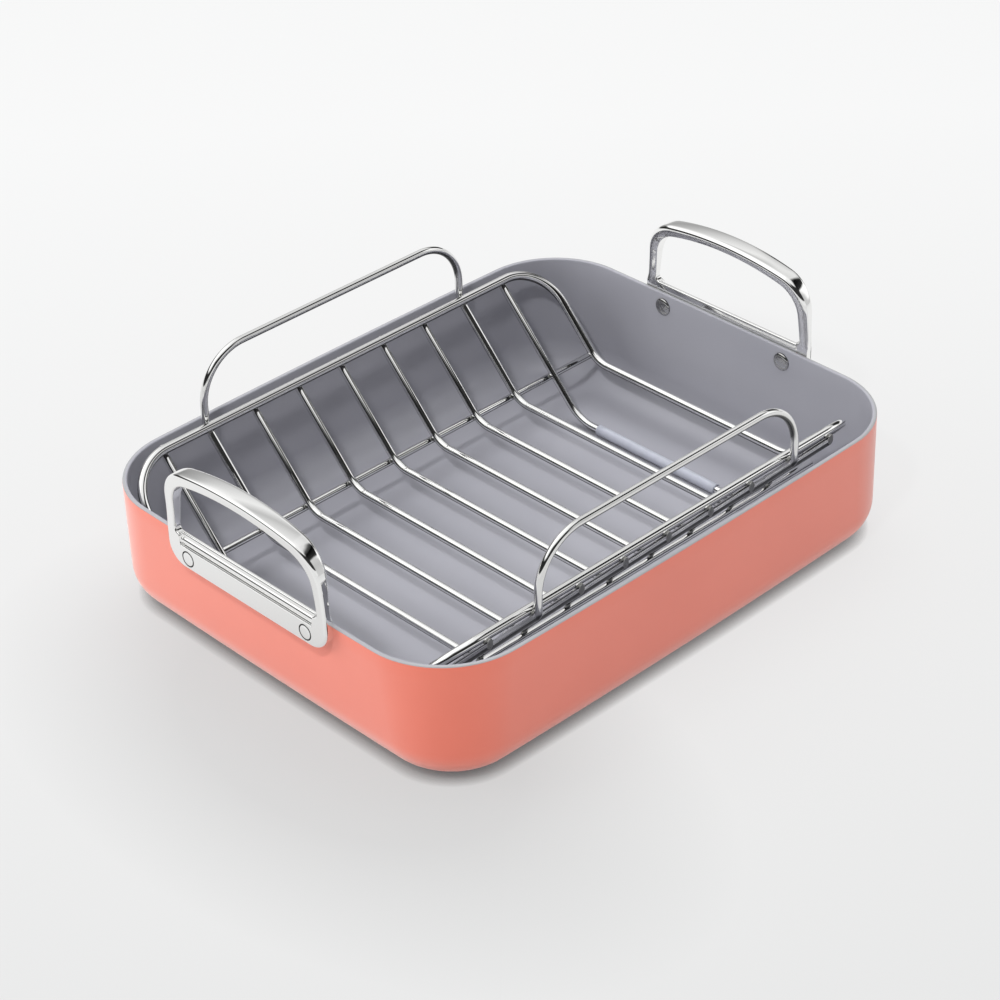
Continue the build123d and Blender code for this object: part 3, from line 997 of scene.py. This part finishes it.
def seen_or_mirrored(tree):
    """1 for camera, glossy and transmission rays: what shows or is mirrored, but doesn't light."""
    path = add_node(tree, "LightPath")
    seen = path.outputs["Is Camera Ray"]
    for name in ("Is Glossy Ray", "Is Transmission Ray"):
        either = add_node(tree, "Math", operation="MAXIMUM")
        tree.links.new(seen, either.inputs[0])
        tree.links.new(path.outputs[name], either.inputs[1])
        seen = either.outputs[0]
    return seen


def painted_nearby_shade(tree, reach, dark):
    """A ramp of painted shade that darkens the floor close to whatever stands on it."""
    hidden = add_node(tree, "AmbientOcclusion", samples=4, distance=reach)
    return add_ramp(tree, hidden.outputs["AO"], 0.1, 1.0, grey(dark), grey(1.0)).outputs["Color"]


# %% The floor's finish, with its painted shade
FLOOR_GLOW, SWEEP_HEADING = 0.88, (0.34, 0.36, 0)
CONTACT_REACH, CONTACT_SHADE = 0.009, 0.12
WIDE_REACH, WIDE_SHADE = 0.12, 0.97
POOL_PLACE, POOL_SIZE, POOL_SHADE = (-0.19, -0.06, 0), (0.16, 0.27, 1), 0.82

sweep, tree, shader = new_material("sweep")
shader.inputs["Base Color"].default_value = (0.78, 0.80, 0.80, 1)
shader.inputs["Roughness"].default_value = 0.9
coordinates = add_node(tree, "TexCoord").outputs["Object"]
depth = centred(tree, along(tree, coordinates, SWEEP_HEADING))
level = add_ramp(tree, depth, 0.28, 0.80, grey(0.78), grey(0.925)).outputs["Color"]
# Painted shade: ambient occlusion darkens the glow right under the pan and faintly around it.
level = multiply(tree, level, painted_nearby_shade(tree, CONTACT_REACH, CONTACT_SHADE))
level = multiply(tree, level, painted_nearby_shade(tree, WIDE_REACH, WIDE_SHADE))
# Painted shadow: a soft pool of shade painted into the glow on the pan's near left.
painted_pool = add_node(tree, "TexGradient", gradient_type="SPHERICAL")
pool_place = add_node(tree, "Mapping", vector_type="TEXTURE")
pool_place.inputs["Location"].default_value = POOL_PLACE
pool_place.inputs["Scale"].default_value = POOL_SIZE
tree.links.new(coordinates, pool_place.inputs["Vector"])
tree.links.new(pool_place.outputs["Vector"], painted_pool.inputs["Vector"])
painted_pool_shade = add_ramp(tree, painted_pool.outputs["Fac"], 0.0, 0.55, grey(1.0), grey(POOL_SHADE))
level = multiply(tree, level, painted_pool_shade.outputs["Color"])
glow = add_node(tree, "Emission")
tree.links.new(level, glow.inputs["Strength"])
blend = tree.nodes.new("ShaderNodeMixShader")
tree.links.new(multiply(tree, seen_or_mirrored(tree), FLOOR_GLOW), blend.inputs["Fac"])
tree.links.new(shader.outputs[0], blend.inputs[1])
tree.links.new(glow.outputs[0], blend.inputs[2])
tree.links.new(blend.outputs[0], tree.nodes["Material Output"].inputs["Surface"])
print(sweep.name, len(tree.nodes), "nodes")

# %% Lay the floor
FLOOR_HALF_SIZE = 12.0

bm = bmesh.new()
bmesh.ops.create_grid(bm, x_segments=1, y_segments=1, size=FLOOR_HALF_SIZE)
mesh = bpy.data.meshes.new("floor")
bm.to_mesh(mesh)
bm.free()
mesh.materials.append(sweep)
floor = bpy.data.objects.new("floor", mesh)
bpy.context.scene.collection.objects.link(floor)
print("floor", 2 * FLOOR_HALF_SIZE, "m square")

# %% [markdown]
# A small key lamp draws the wires' shadows on the pan's floor. A large one above fills them, and
# two at the sides light the end wall and the long wall, so that the near corner between them stays
# the darkest. None of them is mirrored: in polished metal a lamp would only leave a blown out spot.

# %% The lamps
LAMP_TARGET = Vector((0, 0, 0.05))


def softbox(name, place, size, power):
    """A square area lamp that looks at the pan and lights it, but isn't mirrored in the metal."""
    data = bpy.data.lights.new(name, "AREA")
    data.energy, data.size = power, size
    lamp = bpy.data.objects.new(name, data)
    bpy.context.scene.collection.objects.link(lamp)
    lamp.location = place
    lamp.rotation_euler = (LAMP_TARGET - Vector(place)).to_track_quat("-Z", "Y").to_euler()
    lamp.visible_glossy = False
    print("lamp", name, power, "W")


softbox("key", (-1.10, -0.49, 1.61), 0.14, 13.5)
softbox("top", (0.5, 0.5, 1.9), 1.5, 27.5)
softbox("left", (-1.25, 1.15, 0.75), 0.9, 12.5)
softbox("right", (1.3, -1.0, 0.65), 0.8, 2.8)

# %% [markdown]
# Polished metal looks like what stands round it, and here that is the world. It lights the pan as a
# plain grey dome, but camera, glossy and transmission rays see a painted studio: bright panels and
# dark gaps between them, as a photographer would set up for chrome. Each panel is a ramp over
# height that is blended in round its heading.

# %% A world with its own nodes
world = bpy.data.worlds.new("studio")
bpy.context.scene.world = world
world.use_nodes = True
tree = world.node_tree
tree.nodes.clear()
output = tree.nodes.new("ShaderNodeOutputWorld")
direction = add_node(tree, "TexCoord").outputs["Generated"]


def smooth_mix(tree, share, first, second):
    """One colour where share is 0 and the other where it is 1."""
    mix = add_node(tree, "Mix", data_type="RGBA")
    for name, source in (("Factor", share), ("A", first), ("B", second)):
        tree.links.new(source, mix.inputs[name])
    return mix.outputs["Result"]


print("world", world.name)

# %% What the metal mirrors, from the horizon at 0 to overhead at 1
height = along(tree, direction, (0, 0.12, 1))
studio = bands(tree, height, [
    (0.0, 0.85), (0.12, 0.80), (0.17, 0.03), (0.50, 0.02),
    (0.57, 0.60), (0.70, 0.85), (0.82, 0.75), (1.0, 1.0),
])
back_panel = bands(tree, height, [
    (0.0, 0.60), (0.30, 0.38), (0.40, 0.48), (0.55, 0.72),
    (0.67, 0.90), (0.76, 0.55), (0.82, 0.70), (1.0, 1.0),
])
side_panel = bands(tree, height, [
    (0.0, 0.62), (0.30, 0.55), (0.53, 0.64), (0.58, 0.03),
    (0.74, 0.0), (0.80, 0.10), (0.86, 0.75), (1.0, 1.0),
])
window = bands(tree, height, [
    (0.0, 0.85), (0.12, 0.80), (0.17, 0.03), (0.50, 0.02), (0.60, 1.25), (1.0, 1.25),
])
corner_panel = bands(tree, height, [
    (0.0, 0.70), (0.12, 0.60), (0.20, 0.28), (0.35, 0.32), (0.48, 0.50), (0.60, 1.0), (1.0, 1.1),
])
front_dark = bands(tree, height, [
    (0.0, 0.85), (0.12, 0.80), (0.17, 0.03), (0.74, 0.03), (0.82, 0.9), (1.0, 1.0),
])
glint = bands(tree, height, [
    (0.0, 0.60), (0.12, 1.1), (0.50, 1.1), (0.55, 0.03),
    (0.74, 0.0), (0.80, 0.10), (0.86, 0.75), (1.0, 1.0),
])
print("world with its bands", len(tree.nodes), "nodes")

# %% Set the panels round the pan
WORLD_LIGHT = 0.45

flat = add_node(tree, "VectorMath", operation="MULTIPLY")
tree.links.new(direction, flat.inputs[0])
flat.inputs[1].default_value = (1, 1, 0)
level_way = add_node(tree, "VectorMath", operation="NORMALIZE")
tree.links.new(flat.outputs[0], level_way.inputs[0])
mirrored_world = studio
for panel, heading, outer_edge, inner_edge in (
    (window, (-0.5, 0.87, 0), 0.3, 0.7), (front_dark, (-0.26, -0.97, 0), 0.5, 0.7),
    (side_panel, (0.79, -0.62, 0), 0.80, 0.90), (glint, (0.89, -0.454, 0), 0.93, 0.97),
    (corner_panel, (0.375, 0.927, 0), 0.93, 0.97), (back_panel, (0.707, 0.707, 0), 0.962, 0.982),
):
    facing = along(tree, level_way.outputs[0], heading)
    toward = bands(tree, facing, [(outer_edge, 0.0), (inner_edge, 1.0)])
    mirrored_world = smooth_mix(tree, toward, mirrored_world, panel)
dome = add_node(tree, "Mix", data_type="RGBA")
tree.links.new(seen_or_mirrored(tree), dome.inputs["Factor"])
dome.inputs["A"].default_value = (*grey(WORLD_LIGHT), 1)
tree.links.new(mirrored_world, dome.inputs["B"])
sky = add_node(tree, "Background", strength=1.0)
tree.links.new(dome.outputs["Result"], sky.inputs["Color"])
tree.links.new(sky.outputs[0], output.inputs["Surface"])
bpy.context.scene.view_settings.view_transform = "Standard"
print("world", len(tree.nodes), "nodes")
